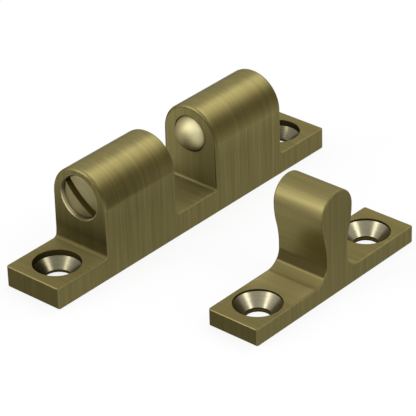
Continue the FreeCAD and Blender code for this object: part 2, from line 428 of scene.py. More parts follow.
def rim_width(holes, plate, with_bores):
    """Rounding for the top rims of a plate's screw holes, and for the mouths of the balls' bores."""
    def width_of(edge):
        if not is_corner(edge):
            return 0.0
        middle = edge_middle(edge)
        top_rim = abs(middle.z - plate) < NEAR and hole_at(middle, holes, HEAD_R + RIM_ROUND)
        from_bore = math.hypot(middle.y, middle.z - BORE_Z)
        mouth = with_bores and abs(abs(middle.x) - INNER_X) < NEAR and from_bore < BORE_R
        return RIM_ROUND if top_rim or mouth else 0.0
    return width_of


def make_catch_body():
    """The catch: what its front outline and an arched bar have in common, bored and countersunk."""
    body = prism(
        "catch_body_brass",
        catch_side_outline(),
        lambda point: Vector((point[0], -HALF_WIDTH - OVERSHOOT, point[1])),
        Vector((0, 2 * (HALF_WIDTH + OVERSHOOT), 0)),
    )
    foot = [(-HALF_WIDTH, -OVERSHOOT), (HALF_WIDTH, -OVERSHOOT)]
    bar = prism(
        "bar",
        without_repeats(foot + arc(0, ARCH_Z, HALF_WIDTH, 0, 180, 2 * ARC_STEPS)),
        lambda point: Vector((-END_X - OVERSHOOT, point[0], point[1])),
        Vector((2 * (END_X + OVERSHOOT), 0, 0)),
    )
    combine(body, bar, "INTERSECT")
    round_edges(body, catch_edge_width, ROUND_SEGMENTS)
    for side, (x, y) in zip((-1, 1), CATCH_HOLES):
        combine(body, bore_tool(side), "DIFFERENCE")
        combine(body, countersink(x, y, PLATE, CATCH_HOLE_R, CATCH_HEAD_DEPTH, CATCH_LAND), "DIFFERENCE")
    round_edges(body, rim_width(CATCH_HOLES, PLATE, with_bores=True), RIM_SEGMENTS)
    return body


def tongue_outline():
    """The right half of the strike's outline above its plate, from the root to the top of the bulb."""
    bulb_z = STRIKE_TOP - BULB_R
    swelling = BULB_R - NECK
    rise = bulb_z - NECK_Z
    radius = (swelling ** 2 + rise ** 2) / (4 * swelling)
    lean = math.degrees(math.asin(rise / (2 * radius)))
    return (
        arc(NECK + ROOT_R, STRIKE_PLATE + ROOT_R, ROOT_R, 270, 180, TONGUE_STEPS)
        + arc(NECK + radius, NECK_Z, radius, 180, 180 - lean, TONGUE_STEPS)
        + arc(BULB_R - radius, bulb_z, radius, -lean, 0, TONGUE_STEPS)
        + arc(0, bulb_z, BULB_R, 0, 90, ARC_STEPS)
    )


def strike_outline():
    """The strike seen from the front, as (x, z), with x from its middle."""
    right = [(STRIKE_HALF_LENGTH, 0), (STRIKE_HALF_LENGTH, STRIKE_PLATE)] + tongue_outline()
    left = [(-x, z) for x, z in reversed(right)]
    return without_repeats(right + left)


def strike_edge_width(edge):
    """How round each edge of the strike is: its four plan corners more than the rest."""
    if not is_corner(edge):
        return 0.0
    at_end = abs(abs(edge_middle(edge).x - STRIKE_X) - STRIKE_HALF_LENGTH) < NEAR
    return CORNER_ROUND if at_end and is_upright(edge) else EDGE_ROUND


def make_strike():
    """The strike: its front outline carried across its width, and countersunk."""
    body = prism(
        "strike_brass",
        strike_outline(),
        lambda point: Vector((STRIKE_X + point[0], STRIKE_LOW.y, point[1])),
        Vector((0, 2 * STRIKE_HALF_WIDTH, 0)),
    )
    round_edges(body, strike_edge_width, ROUND_SEGMENTS)
    for x, y in STRIKE_HOLES:
        combine(body, countersink(x, y, STRIKE_PLATE, STRIKE_HOLE_R, STRIKE_HEAD_DEPTH), "DIFFERENCE")
    round_edges(body, rim_width(STRIKE_HOLES, STRIKE_PLATE, with_bores=False), RIM_SEGMENTS)
    return body


def make_ball(name, side):
    """A ball turned about the bore axis, so that its poles are out of sight."""
    profile = []
    for step in range(BALL_STEPS + 1):
        angle = math.pi * step / BALL_STEPS
        profile.append((side * BALL_X - BALL_R * math.cos(angle), BALL_R * math.sin(angle)))
    return turned(name, profile, along_x(BORE_Z))


def thread_radius(x, angle, depth):
    """Radius of a right-hand thread's surface about +X, with flat crests and roots."""
    turn = (x / THREAD_PITCH - angle / (2 * math.pi)) % 1.0
    height = min(1.0, max(0.0, THREAD_STEEPNESS * (1.0 - abs(2 * turn - 1.0)) - THREAD_ROOT_FLAT))
    return SCREW_R - depth * (1.0 - height)


def slot_tool(side):
    """Tool for the slot across a screw's outer face."""
    half = SLOT_WIDTH / 2
    floor = SCREW_RIM_X - SLOT_DEPTH
    outside = SCREW_RIM_X + OVERSHOOT
    slot = prism(
        "slot_tool",
        [(floor, -half), (floor, half), (outside, half), (outside, -half)],
        lambda point: Vector((side * point[0], -2 * THREAD_R, point[1])),
        Vector((0, 4 * THREAD_R, 0)),
    )
    slot.data.transform(Matrix.Translation((0, 0, BORE_Z)) @ Matrix.Rotation(SLOT_ANGLE, 4, "X"))
    return slot


def slot_edge_width(edge):
    """Rounding for the slot's edges on the screw's domed face."""
    middle = edge_middle(edge)
    from_axis = math.hypot(middle.y, middle.z - BORE_Z)
    on_dome = abs(middle.x) > SCREW_RIM_X and from_axis < SCREW_RIM_R - 2 * SLOT_ROUND
    return SLOT_ROUND if on_dome and is_corner(edge, SLOT_CORNER_DEGREES) else 0.0


def make_screw(name, side):
    """A headless screw with a thread, chamfered ends, a slightly domed outer face and a slot across it."""
    inner = SCREW_LOW.x
    place = along_x(BORE_Z)

    def threaded_ring(x):
        from_end = min(x - inner, SCREW_RIM_X - x)
        fade = min(1.0, max(0.0, (from_end - SCREW_CHAMFER) / THREAD_PITCH * 2))
        limit = min(SCREW_R, SCREW_RIM_R + from_end)
        for angle in ring_angles():
            yield min(limit, thread_radius(side * x, angle, THREAD_DEPTH * fade)), angle

    def build(bm):
        rings = [[bm.verts.new(place(side * inner, 0, 0))]]
        for row in range(THREAD_ROWS + 1):
            x = inner + (SCREW_RIM_X - inner) * row / THREAD_ROWS
            rings.append([bm.verts.new(place(side * x, radius, angle)) for radius, angle in threaded_ring(x)])
        for row in range(1, DOME_ROWS):
            radius = SCREW_RIM_R * (1 - row / DOME_ROWS)
            x = SCREW_RIM_X + SCREW_DOME - (DOME_R - math.sqrt(DOME_R ** 2 - radius ** 2))
            rings.append([bm.verts.new(place(side * x, radius, angle)) for angle in ring_angles()])
        rings.append([bm.verts.new(place(side * (SCREW_RIM_X + SCREW_DOME), 0, 0))])
        join_rings(bm, rings)

    screw = new_object(name, build)
    combine(screw, slot_tool(side), "DIFFERENCE")
    drop_slivers(screw)
    round_edges(screw, slot_edge_width, RIM_SEGMENTS)
    drop_slivers(screw)
    return screw


def coil_height(turn, length):
    """How far along its axis the wire is: closed end coils and open middle coils."""
    end_pitch = 2 * WIRE_R + END_COIL_GAP
    active_pitch = (length - 2 * END_COILS * end_pitch) / ACTIVE_COILS
    opened = min(max(turn - END_COILS, 0), ACTIVE_COILS)
    return end_pitch * (turn - opened) + active_pitch * opened


def keep_half(bm, at, towards):
    """Cuts the mesh by a plane across X, keeps the side that lies towards +X or -X, and closes the cut."""
    everything = bm.verts[:] + bm.edges[:] + bm.faces[:]
    cut = bmesh.ops.bisect_plane(
        bm,
        geom=everything,
        dist=MERGE_DISTANCE,
        plane_co=(at, 0, 0),
        plane_no=(-towards, 0, 0),
        clear_outer=True,
    )
    rim = [part for part in cut["geom_cut"] if isinstance(part, bmesh.types.BMEdge)]
    bmesh.ops.contextual_create(bm, geom=rim)


def make_spring(name, side, half):
    """Wire wound from the ball to the tension screw. half is -1 for the ball's end and 1 for the screw's."""
    start = SPRING_LOW.x + WIRE_R
    length = SPRING_HIGH.x - WIRE_R - start
    turns = ACTIVE_COILS + 2 * END_COILS
    steps = round(turns * COIL_STEPS)

    def centre(turn):
        angle = 2 * math.pi * turn
        x = side * (start + coil_height(turn, length))
        return Vector((x, COIL_R * math.cos(angle), BORE_Z + COIL_R * math.sin(angle)))

    def wire_ring(turn):
        here = centre(turn)
        before, after = centre(max(turn - TANGENT_STEP, 0)), centre(min(turn + TANGENT_STEP, turns))
        outwards = Vector((0, here.y, here.z - BORE_Z)).normalized()
        sideways = (after - before).normalized().cross(outwards).normalized()
        for index in range(WIRE_SIDES):
            angle = 2 * math.pi * index / WIRE_SIDES
            yield here + WIRE_R * (math.cos(angle) * outwards + math.sin(angle) * sideways)

    def build(bm):
        rings = []
        for step in range(steps + 1):
            rings.append([bm.verts.new(point) for point in wire_ring(turns * step / steps)])
        join_rings(bm, rings)
        bm.faces.new(rings[0])
        bm.faces.new(rings[-1])
        keep_half(bm, side * (SPRING_MIDDLE + half * SPRING_SPLIT), side * half)

    return new_object(name, build)


# Grain: a UV map in millimetres, across the brush lines and along them
def grain_map(obj, coordinates):
    """Writes the UV map Grain from coordinates(point, normal, middle), as (across, along) in metres."""
    mesh = obj.data
    layer = mesh.uv_layers.new(name="Grain")
    mesh.uv_layers.active = layer
    for polygon in mesh.polygons:
        for loop in polygon.loop_indices:
            point = mesh.vertices[mesh.loops[loop].vertex_index].co
            across, along = coordinates(point, polygon.normal, polygon.center)
            layer.data[loop].uv = (across / MM, along / MM)


def hole_at(point, centres, reach):
    """The hole centre that a point lies within, or None."""
    for centre in centres:
        if math.hypot(point.x - centre[0], point.y - centre[1]) < reach:
            return centre
    return None


def in_bore(point):
    """True within a bore's reach of the bores' axis."""
    return math.hypot(point.y, point.z - BORE_Z) < THREAD_R + 2 * MOUTH_CHAMFER


def turned_grain(point, centre):
    """Rings round a hole's axis: across is the depth, along is the way round."""
    angle = math.atan2(point.y - centre[1], point.x - centre[0])
    return point.z + HOLE_SHIFT, angle * HEAD_R


def catch_grain(point, normal, middle):
    """Across and along the brush lines of the catch: upright on its faces, and over the arches."""
    centre = hole_at(middle, CATCH_HOLES, HEAD_R)
    if centre and abs(normal.z) < PLAIN:
        return turned_grain(point, centre)
    if in_bore(middle) and abs(normal.x) < PLAIN and abs(middle.x) < OUTER_X:
        return point.x + BORE_SHIFT, math.atan2(point.y, point.z - BORE_Z) * THREAD_R
    if abs(normal.x) > ENDWARDS:
        return point.y + CATCH_END_SHIFT, point.z
    if abs(middle.x) < INNER_X or abs(middle.x) > OUTER_X:
        return point.x, point.z if abs(normal.y) > SIDEWAYS else point.y
    if point.z > ARCH_Z:
        angle = math.atan2(point.z - ARCH_Z, abs(point.y))
        return point.x, ARCH_Z + angle * HALF_WIDTH * (1 if point.y < 0 else -1)
    return point.x, point.z if point.y < 0 else -point.z


def outline_lengths():
    """Points of the strike's outline with the distance along it, for the grain on its curved faces."""
    outline = strike_outline()
    rows = []
    total = 0.0
    for here, after in zip(outline, outline[1:]):
        rows.append((here, after, total))
        total += math.dist(here, after)
    return rows


OUTLINE_ROWS = outline_lengths()


def along_outline(x, z):
    """Distance along the strike's outline of the place nearest to a point."""
    nearest, distance = math.inf, 0.0
    for (ax, az), (bx, bz), total in OUTLINE_ROWS:
        dx, dz = bx - ax, bz - az
        share = min(max(((x - ax) * dx + (z - az) * dz) / (dx * dx + dz * dz), 0.0), 1.0)
        away = math.hypot(x - ax - share * dx, z - az - share * dz)
        if away < nearest:
            nearest, distance = away, total + share * math.hypot(dx, dz)
    return distance


def strike_grain(point, normal, middle):
    """Across and along the brush lines of the strike: upright on its faces, and across its outline."""
    centre = hole_at(middle, STRIKE_HOLES, HEAD_R)
    if centre and abs(normal.z) < PLAIN:
        return turned_grain(point, centre)
    if abs(normal.y) > SIDEWAYS:
        return point.x + STRIKE_FRONT_SHIFT, point.z
    if abs(normal.x) > ENDWARDS and middle.z < STRIKE_PLATE:
        return point.y + STRIKE_END_SHIFT, point.z
    return along_outline(point.x - STRIKE_X, point.z) + STRIKE_OUTLINE_SHIFT, point.y


def lathe_grain(point, normal, middle):
    """Rings round the bore axis on the face of a turned piece."""
    radius = math.hypot(point.y, point.z - BORE_Z)
    return radius + point.x, math.atan2(point.y, point.z - BORE_Z) * SCREW_R


# Materials, whose brush lines and noise are given in cells to a millimetre, and in detail and roughness
RIM_TINT = (0.6, 0.58, 0.52)
# Painted shade darkens blue more than green, and green more than red, by these powers
SHADE_TINT = (1.0, 1.05, 1.25)
BRUSH_LINES = (8, 0.035)
SATIN_LINES = (0.6, 0.6)
FINE_NOISE = (4.0, 0.65)
BROAD_NOISE = (2.0, 0.5)
BROAD_ACROSS = 0.16
BROAD_ALONG = 1.4
BROAD_SHARE = 0.35
TONE_PLACES = (0.3, 0.5, 0.7)
BUMP_HEIGHT = 0.02 * MM


def material_nodes(name):
    """A new material with its nodes, links and shader."""
    material = bpy.data.materials.new(name)
    material.use_nodes = True
    nodes = material.node_tree.nodes
    return material, nodes, material.node_tree.links, nodes["Principled BSDF"]


def ramp(nodes, links, source, stops):
    """A colour ramp fed by a socket. stops are (place, (r, g, b)) in linear light."""
    node = nodes.new("ShaderNodeValToRGB")
    elements = node.color_ramp.elements
    while len(elements) > 1:
        elements.remove(elements[-1])
    elements[0].position, elements[0].color = stops[0][0], (*stops[0][1], 1)
    for place, colour in stops[1:]:
        element = elements.new(place)
        element.color = (*colour, 1)
    links.new(source, node.inputs["Fac"])
    return node.outputs["Color"]


def noise(nodes, links, vector, detail, roughness):
    """Noise with cells about as large as the vector's units."""
    node = nodes.new("ShaderNodeTexNoise")
    node.inputs["Scale"].default_value = 1.0
    node.inputs["Detail"].default_value = detail
    node.inputs["Roughness"].default_value = roughness
    links.new(vector, node.inputs["Vector"])
    return node.outputs["Fac"]


def stretched(nodes, links, across, along):
    """The Grain map scaled. across and along say how many cells a millimetre has each way."""
    uv = nodes.new("ShaderNodeUVMap")
    uv.uv_map = "Grain"
    mapping = nodes.new("ShaderNodeMapping")
    mapping.inputs["Scale"].default_value = (across, along, 1)
    links.new(uv.outputs["UV"], mapping.inputs["Vector"])
    return mapping.outputs["Vector"]


def mixed(nodes, links, first, second, factor, blend="MIX"):
    """The colour of two sockets mixed."""
    node = nodes.new("ShaderNodeMix")
    node.data_type = "RGBA"
    node.blend_type = blend
    node.inputs["Factor"].default_value = factor
    links.new(first, node.inputs["A"])
    links.new(second, node.inputs["B"])
    return node.outputs["Result"]


def scaled(nodes, links, source, low, high):
    """Maps 0..1 to low..high."""
    node = nodes.new("ShaderNodeMapRange")
    node.inputs["To Min"].default_value = low
    node.inputs["To Max"].default_value = high
    links.new(source, node.inputs["Value"])
    return node.outputs["Result"]


def bump(nodes, links, source, strength):
    """The surface's normal, roughened by a socket."""
    node = nodes.new("ShaderNodeBump")
    node.inputs["Strength"].default_value = strength
    node.inputs["Distance"].default_value = BUMP_HEIGHT
    links.new(source, node.inputs["Height"])
    return node.outputs["Normal"]


def paint_light_and_shade(nodes, links, colour, axis, stops):
    """Painted light and shade: the colour darkened by place along an axis. stops are (millimetres, share of the
    colour kept).
    """
    place = nodes.new("ShaderNodeTexCoord")
    along = nodes.new("ShaderNodeVectorMath")
    along.operation = "DOT_PRODUCT"
    along.inputs[1].default_value = axis
    links.new(place.outputs["Object"], along.inputs[0])
    first, last = stops[0][0], stops[-1][0]
    share_along = nodes.new("ShaderNodeMapRange")
    share_along.inputs["From Min"].default_value = first * MM
    share_along.inputs["From Max"].default_value = last * MM
    links.new(along.outputs["Value"], share_along.inputs["Value"])
    shares = []
    for at, kept in stops:
        shares.append(((at - first) / (last - first), [kept ** power for power in SHADE_TINT]))
    share = ramp(nodes, links, share_along.outputs["Result"], shares)
    return mixed(nodes, links, colour, share, 1.0, "MULTIPLY")


def brushed_metal(name, tones, rough, bump_strength, anisotropy, painted_shading=(), lines=BRUSH_LINES):
    """Brushed metal: fine lines over broader streaks, in colour, roughness and bump, with painted light and
    shade along axes.
    """
    material, nodes, links, shader = material_nodes(name)
    across, along = lines
    broad_across, broad_along = across * BROAD_ACROSS, along * BROAD_ALONG
    fine = noise(nodes, links, stretched(nodes, links, across, along), *FINE_NOISE)
    broad = noise(nodes, links, stretched(nodes, links, broad_across, broad_along), *BROAD_NOISE)
    streaks = mixed(nodes, links, fine, broad, BROAD_SHARE)
    colour = ramp(nodes, links, streaks, list(zip(TONE_PLACES, tones)))
    for axis, stops in painted_shading:
        colour = paint_light_and_shade(nodes, links, colour, axis, stops)
    links.new(colour, shader.inputs["Base Color"])
    links.new(scaled(nodes, links, fine, *rough), shader.inputs["Roughness"])
    links.new(bump(nodes, links, fine, bump_strength), shader.inputs["Normal"])
    shader.inputs["Metallic"].default_value = 1.0
    shader.inputs["Specular Tint"].default_value = (*RIM_TINT, 1)
    shader.inputs["Anisotropic"].default_value = anisotropy
    tangent = nodes.new("ShaderNodeTangent")
    tangent.direction_type = "UV_MAP"
    tangent.uv_map = "Grain"
    links.new(tangent.outputs["Tangent"], shader.inputs["Tangent"])
    return material


def linear(value):
    """A screen value of 0 to 255 in linear light."""
    value /= 255
    return value / 12.92 if value <= 0.04045 else ((value + 0.055) / 1.055) ** 2.4


def metal_tones(*colours):
    """The dark, middle and light tone of a metal, from screen colours of 0 to 255."""
    return [tuple(linear(value) for value in colour) for colour in colours]


# Lighter and darker copies of one brass for faces that look different ways: painted light and shade
BRASS = metal_tones((97, 89, 55), (115, 107, 69), (132, 123, 82))
BRASS_TOP = metal_tones((110, 102, 64), (123, 114, 73), (135, 126, 81))
BRASS_ROOT = metal_tones((142, 133, 90), (160, 149, 101), (174, 163, 112))
BRASS_ARCH = metal_tones((115, 107, 70), (131, 122, 79), (147, 137, 90))
BRASS_FRONT = metal_tones((101, 93, 58), (123, 115, 74), (143, 134, 89))
BRASS_GAP = metal_tones((122, 114, 76), (136, 127, 84), (150, 140, 93))
# Painted shade: a dark brown for the walls of the catch's head recesses and of the bores
RECESS_PAINTED_SHADE = metal_tones((56, 48, 24), (64, 56, 30), (74, 65, 36))
SLOT_WALLS = metal_tones((118, 105, 52), (128, 115, 60), (138, 125, 68))
# Painted highlight: a pale cream for the chamfered mouths of the bores
MOUTH_HIGHLIGHT_TONES = metal_tones((220, 212, 176), (228, 220, 184), (236, 228, 192))
# Painted shade: a dark brown for the walls of the strike's screw holes
HOLE_WALL_PAINTED_SHADE = metal_tones((78, 68, 36), (86, 76, 42), (94, 84, 48))
CONE = metal_tones((106, 101, 80), (114, 109, 88), (122, 117, 96))
# Painted light: the strike's countersinks are a lighter copy of the catch's
STRIKE_CONE_PAINTED_LIGHT = metal_tones((128, 122, 100), (136, 130, 108), (144, 138, 116))
SCREW = metal_tones((120, 112, 76), (130, 122, 87), (140, 132, 97))
BALL = metal_tones((215, 207, 163), (221, 213, 169), (227, 219, 175))
WIRE = metal_tones((128, 128, 130), (146, 146, 148), (164, 164, 166))

# Painted light and shade: an axis, and the share of the colour that is kept at each place along it in
# millimetres
UPWARDS = (0, 0, 1)
LEFTWARDS = (-1, 0, 0)
FRONTWARDS = (0, -1, 0)
MOUTHWARDS = (0, -0.8, 0.6)
# Painted shade on the end faces: the plate ends darker and the towers' outer faces darkest near their foot,
# with a painted highlight line at about 3.5 mm
END_PAINTED_SHADE_AND_HIGHLIGHT = (UPWARDS, [
    (0, 0.52), (3.4, 0.52), (3.48, 0.78), (3.58, 0.82), (4.1, 0.6),
    (4.6, 0.55), (6, 0.38), (8.7, 0.6), (13, 0.9),
])
# Painted shade: the foot fillets darker towards the towers
FOOT_PAINTED_SHADE = (UPWARDS, [(3.5, 0.72), (3.56, 0.56), (3.7, 0.4), (3.9, 0.32), (4.1, 0.28)])
# Painted shade: the catch's front and back faces darker below 8.5 mm than at the towers' tops
FRONT_PAINTED_SHADE = (UPWARDS, [(0, 0.88), (8.5, 0.88), (11.2, 1.0)])
# Painted shade: the strike's front and back faces darker towards the top of the tongue
TONGUE_FRONT_PAINTED_SHADE = (UPWARDS, [(0, 1.0), (5, 0.98), (11, 0.88)])
# Painted shade: the faces of the gap between the towers darker near its floor
GAP_PAINTED_SHADE = (UPWARDS, [(3.8, 0.97), (4.4, 0.95), (6, 1.0)])
# Painted highlight and shade on the arches: a dark band over the shoulders under a light crest
ARCH_PAINTED_HIGHLIGHT_AND_SHADE = (UPWARDS, [
    (11.2, 0.86), (11.5, 0.79), (12.0, 0.67), (12.6, 0.54), (13.3, 0.415), (14.0, 0.36), (14.55, 0.415),
    (15.05, 0.53), (15.5, 0.6), (15.87, 0.72), (16.15, 0.88), (16.3, 1.0),
])
# Painted shade: the tongue's flanks darker towards their foot
FLANK_PAINTED_SHADE = (UPWARDS, [(5.4, 0.7), (9, 0.95), (12, 1.0)])
# Painted shade on the root fillet on the tongue's +X side
FAR_ROOT_PAINTED_SHADE = (UPWARDS, [(2.8, 0.7), (5.4, 0.6)])
# Painted highlight and shade on the root fillet on the tongue's -X side: a light line at about 3.6 mm with dark
# above it
ROOT_PAINTED_HIGHLIGHT_AND_SHADE = (UPWARDS, [
    (2.8, 0.74), (3.45, 0.68), (3.6, 0.93), (3.68, 0.93), (3.85, 0.26), (4.5, 0.28), (5.4, 0.36),
])
# Painted light: the catch's plate top lighter in a strip beside the -X tower's foot
CATCH_TOP_PAINTED_LIGHT = (LEFTWARDS, [(10, 0.56), (20, 0.56), (20.1, 0.8), (21.5, 0.74), (25, 0.56)])
# Painted light: the strike's plate top lighter beside the tongue's -X root
STRIKE_TOP_PAINTED_LIGHT = (LEFTWARDS, [(0, 0.56), (6.5, 0.56), (6.8, 0.93), (8, 1.0), (10, 0.85), (13.5, 0.55)])
# Painted shade on the strike's hole walls, with a lighter band 0.2 to 0.5 mm above the floor
HOLE_PAINTED_SHADE = (UPWARDS, [(0, 0.4), (0.2, 0.4), (0.35, 1.0), (0.5, 0.4)])
# Painted highlight and shade on the balls: darker towards +Y, lightest towards -Y and the top
BALL_SIDE_PAINTED_SHADE = (FRONTWARDS, [
    (-2.6, 0.32), (-2.0, 0.36), (-1.2, 0.43), (-0.4, 0.54), (0.4, 0.76), (1.2, 1.0),
])
# Painted shade: the balls darker towards their bottoms
BALL_HEIGHT_PAINTED_SHADE = (UPWARDS, [
    (8.9, 0.2), (9.6, 0.38), (10.3, 0.56), (11.1, 0.74), (12.0, 0.92), (13.0, 1.0),
])
# Painted highlight on the bores' mouths: brightest on the +Y side below the axis, falling to painted shade
# further round
MOUTH_PAINTED_HIGHLIGHT = (MOUTHWARDS, [
    (3.6, 1.0), (3.85, 0.85), (4.3, 0.42), (4.8, 0.28), (5.6, 0.28), (7, 0.45), (9.5, 0.5),
])


# Looks: the metal's name, its tones, roughness, bump strength and anisotropy, and its painted light and shade
# if any
LOOKS = {
    "brass": ("brushed_antique_brass", BRASS_FRONT, (0.48, 0.6), 0.1, 0.3, [FRONT_PAINTED_SHADE]),
    "strike_brass": ("brushed_brass_strike", BRASS, (0.48, 0.6), 0.1, 0.3, [TONGUE_FRONT_PAINTED_SHADE]),
    "arch": ("brushed_brass_arch", BRASS_ARCH, (0.36, 0.46), 0.1, 0.35, [ARCH_PAINTED_HIGHLIGHT_AND_SHADE]),
    # The gap's faces take a lighter brass tone as painted light, with painted shade near the floor
    "gap": ("worn_brass_gap", BRASS_GAP, (0.62, 0.7), 0.1, 0.0, [GAP_PAINTED_SHADE]),
    "foot": ("brushed_brass_foot", BRASS_ROOT, (0.62, 0.72), 0.1, 0.0, [FOOT_PAINTED_SHADE]),
    "top": ("brushed_brass_top", BRASS_ROOT, (0.68, 0.78), 0.1, 0.0, [CATCH_TOP_PAINTED_LIGHT]),
    "strike_top": ("brushed_brass_strike_top", BRASS_ROOT, (0.68, 0.78), 0.1, 0.0, [STRIKE_TOP_PAINTED_LIGHT]),
    "end": ("brushed_brass_end", BRASS, (0.58, 0.68), 0.1, 0.0, [END_PAINTED_SHADE_AND_HIGHLIGHT]),
    # Rounded edges along Y take a lighter tone as a painted highlight, besides their lower roughness
    "rim": ("worn_brass_rim", BRASS_TOP, (0.3, 0.4), 0.05, 0.0),
    "edge": ("rounded_brass_edge", BRASS, (0.58, 0.68), 0.1, 0.0),
    "flank": ("brushed_brass_tongue", BRASS_TOP, (0.36, 0.46), 0.1, 0.35, [FLANK_PAINTED_SHADE]),
    "root": ("brushed_brass_root", BRASS_ROOT, (0.7, 0.8), 0.1, 0.0, [ROOT_PAINTED_HIGHLIGHT_AND_SHADE]),
    "far_root": ("brushed_brass_far_root", BRASS_ROOT, (0.7, 0.8), 0.1, 0.0, [FAR_ROOT_PAINTED_SHADE]),
    "recess": ("dark_recess", RECESS_PAINTED_SHADE, (0.5, 0.6), 0.05, 0.0),
    "slot": ("slot_walls", SLOT_WALLS, (0.55, 0.65), 0.05, 0.0),
    "mouth": ("bright_mouth", MOUTH_HIGHLIGHT_TONES, (0.8, 0.9), 0.05, 0.0, [MOUTH_PAINTED_HIGHLIGHT]),
    "hole": ("dark_hole_wall", HOLE_WALL_PAINTED_SHADE, (0.45, 0.55), 0.05, 0.0, [HOLE_PAINTED_SHADE]),
    "cone": ("turned_countersink", CONE, (0.26, 0.3), 0.01, 0.2),
    "bright_cone": ("turned_countersink_bright", STRIKE_CONE_PAINTED_LIGHT, (0.26, 0.3), 0.01, 0.2),
    "screw": ("turned_screw_brass", SCREW, (0.4, 0.48), 0.06, 0.2),
    "ball": ("satin_ball", BALL, (0.54, 0.6), 0.01, 0.0, [BALL_SIDE_PAINTED_SHADE, BALL_HEIGHT_PAINTED_SHADE], SATIN_LINES),
    "spring": ("drawn_spring_wire", WIRE, (0.25, 0.35), 0.08, 0.1),
}
CATCH_LOOKS = ("brass", "cone", "end", "top", "edge", "recess", "rim", "arch", "gap", "mouth", "foot")
STRIKE_LOOKS = (
    "strike_brass", "bright_cone", "end", "strike_top", "edge", "hole", "rim", "flank", "root", "far_root",
)
SCREW_LOOKS = ("screw", "slot")


def dress(obj, body, node, materials, looks, look_of=None):
    """Gives a piece its materials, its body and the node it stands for."""
    for look in looks:
        obj.data.materials.append(materials[look])
    if look_of:
        for polygon in obj.data.polygons:
            polygon.material_index = looks.index(look_of(polygon))
    smooth(obj)
    if body:
        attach(obj, body)
    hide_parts(node)


def in_cone(polygon, holes, plate, head_depth, hole_r):
    """True on the cone of a screw hole."""
    top = plate - head_depth
    bottom = top - (HEAD_R - hole_r)
    middle = polygon.center
    inside = hole_at(middle, holes, HEAD_R - NEAR) is not None
    return inside and bottom < middle.z < top and LEANING < abs(polygon.normal.z) < PLAIN


def hole_look(normal, wall, top):
    """Look of a face in or round a screw hole, apart from its cone."""
    if normal.z > FACING:
        return top
    return wall if normal.z < UPRIGHT else "edge"


def outside_look(normal, front, top):
    """Look of a face by the way it faces: end, top, front or rounded edge."""
    if abs(normal.x) > FACING:
        return "end"
    if normal.z > FLAT:
        return top
    if max(abs(normal.y), abs(normal.z)) >= FLAT:
        return front
    return "rim" if abs(normal.y) < ACROSS else "edge"


def catch_look(polygon):
    """Look of one face of the catch."""
    normal, middle = polygon.normal, polygon.center
    if in_cone(polygon, CATCH_HOLES, PLATE, CATCH_HEAD_DEPTH, CATCH_HOLE_R):
        return "cone"
    if hole_at(middle, CATCH_HOLES, HEAD_R + RIM_ROUND):
        return hole_look(normal, "recess", "top")
    if in_bore(middle) and abs(normal.x) < FACING:
        # The bore's mouth gets a painted highlight, and the bore further in painted shade
        return "mouth" if abs(middle.x) > OUTER_X - MOUTH_DEPTH else "recess"
    if middle.z > ARCH_Z and abs(normal.x) < FACING:
        return "arch"
    if abs(middle.x) < INNER_X + NEAR and abs(normal.y) < LEANING:
        return "gap"
    if PLATE + NEAR < middle.z < PLATE + TOWER_ROOT and abs(normal.y) < LEANING:
        return "foot"
    return outside_look(normal, "brass", "top")


def strike_look(polygon):
    """Look of one face of the strike."""
    normal, middle = polygon.normal, polygon.center
    if in_cone(polygon, STRIKE_HOLES, STRIKE_PLATE, STRIKE_HEAD_DEPTH, STRIKE_HOLE_R):
        return "bright_cone"
    if hole_at(middle, STRIKE_HOLES, HEAD_R + RIM_ROUND):
        return hole_look(normal, "hole", "strike_top")
    if abs(normal.y) < ACROSS and middle.z > STRIKE_PLATE + ROOT_R:
        return "flank"
    if abs(normal.y) < ACROSS and middle.z > STRIKE_PLATE + NEAR:
        return "root" if normal.x < 0 else "far_root"
    return outside_look(normal, "strike_brass", "strike_top")


def screw_look(polygon):
    """Look of one face of a screw: the walls and floor of the slot are dark."""
    middle = polygon.center
    across = (middle.z - BORE_Z) * math.cos(SLOT_ANGLE) - middle.y * math.sin(SLOT_ANGLE)
    in_depth = SCREW_RIM_X - SLOT_DEPTH - NEAR < abs(middle.x) < SCREW_RIM_X
    return "slot" if in_depth and abs(across) < SLOT_WIDTH / 2 + NEAR else "screw"


def add_spring(side, sign, materials):
    """A spring in two halves: the half by the ball rides with the catch, and the half by the tension screw is
    blended between the catch and the spring's end.
    """
    middle = (sign * SPRING_MIDDLE, 0, BORE_Z)
    by_ball = make_spring(side + "_spring_coil_ball_end", sign, -1)
    by_screw = make_spring(side + "_spring_coil_screw_end", sign, 1)
    for half, body in ((by_ball, "catch"), (by_screw, None)):
        grain_map(half, lathe_grain)
        dress(half, body, side + "_spring", materials, ["spring"])
    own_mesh(by_ball)
    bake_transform(by_screw, "catch", side + "_spring_end", start=middle, end=(sign * SPRING_HIGH.x, 0, BORE_Z))


def add_tower_pieces(side, sign, materials):
    """The ball, tension screw and spring of one tower."""
    ball = make_ball(side + "_ball_polished", sign)
    grain_map(ball, lathe_grain)
    dress(ball, side + "_ball", side + "_ball", materials, ["ball"])
    screw = make_screw(side + "_tension_screw_brass", sign)
    grain_map(screw, lathe_grain)
    dress(screw, side + "_screw", side + "_tension_screw", materials, SCREW_LOOKS, screw_look)
    add_spring(side, sign, materials)


def build_object():
    """Every piece of the catch and its strike, dressed."""
    materials = {look: brushed_metal(*values) for look, values in LOOKS.items()}
    body = make_catch_body()
    grain_map(body, catch_grain)
    dress(body, "catch", "catch_body", materials, CATCH_LOOKS, catch_look)
    strike = make_strike()
    grain_map(strike, strike_grain)
    dress(strike, "catch", "strike", materials, STRIKE_LOOKS, strike_look)
    for side, sign in (("left", -1), ("right", 1)):
        add_tower_pieces(side, sign, materials)


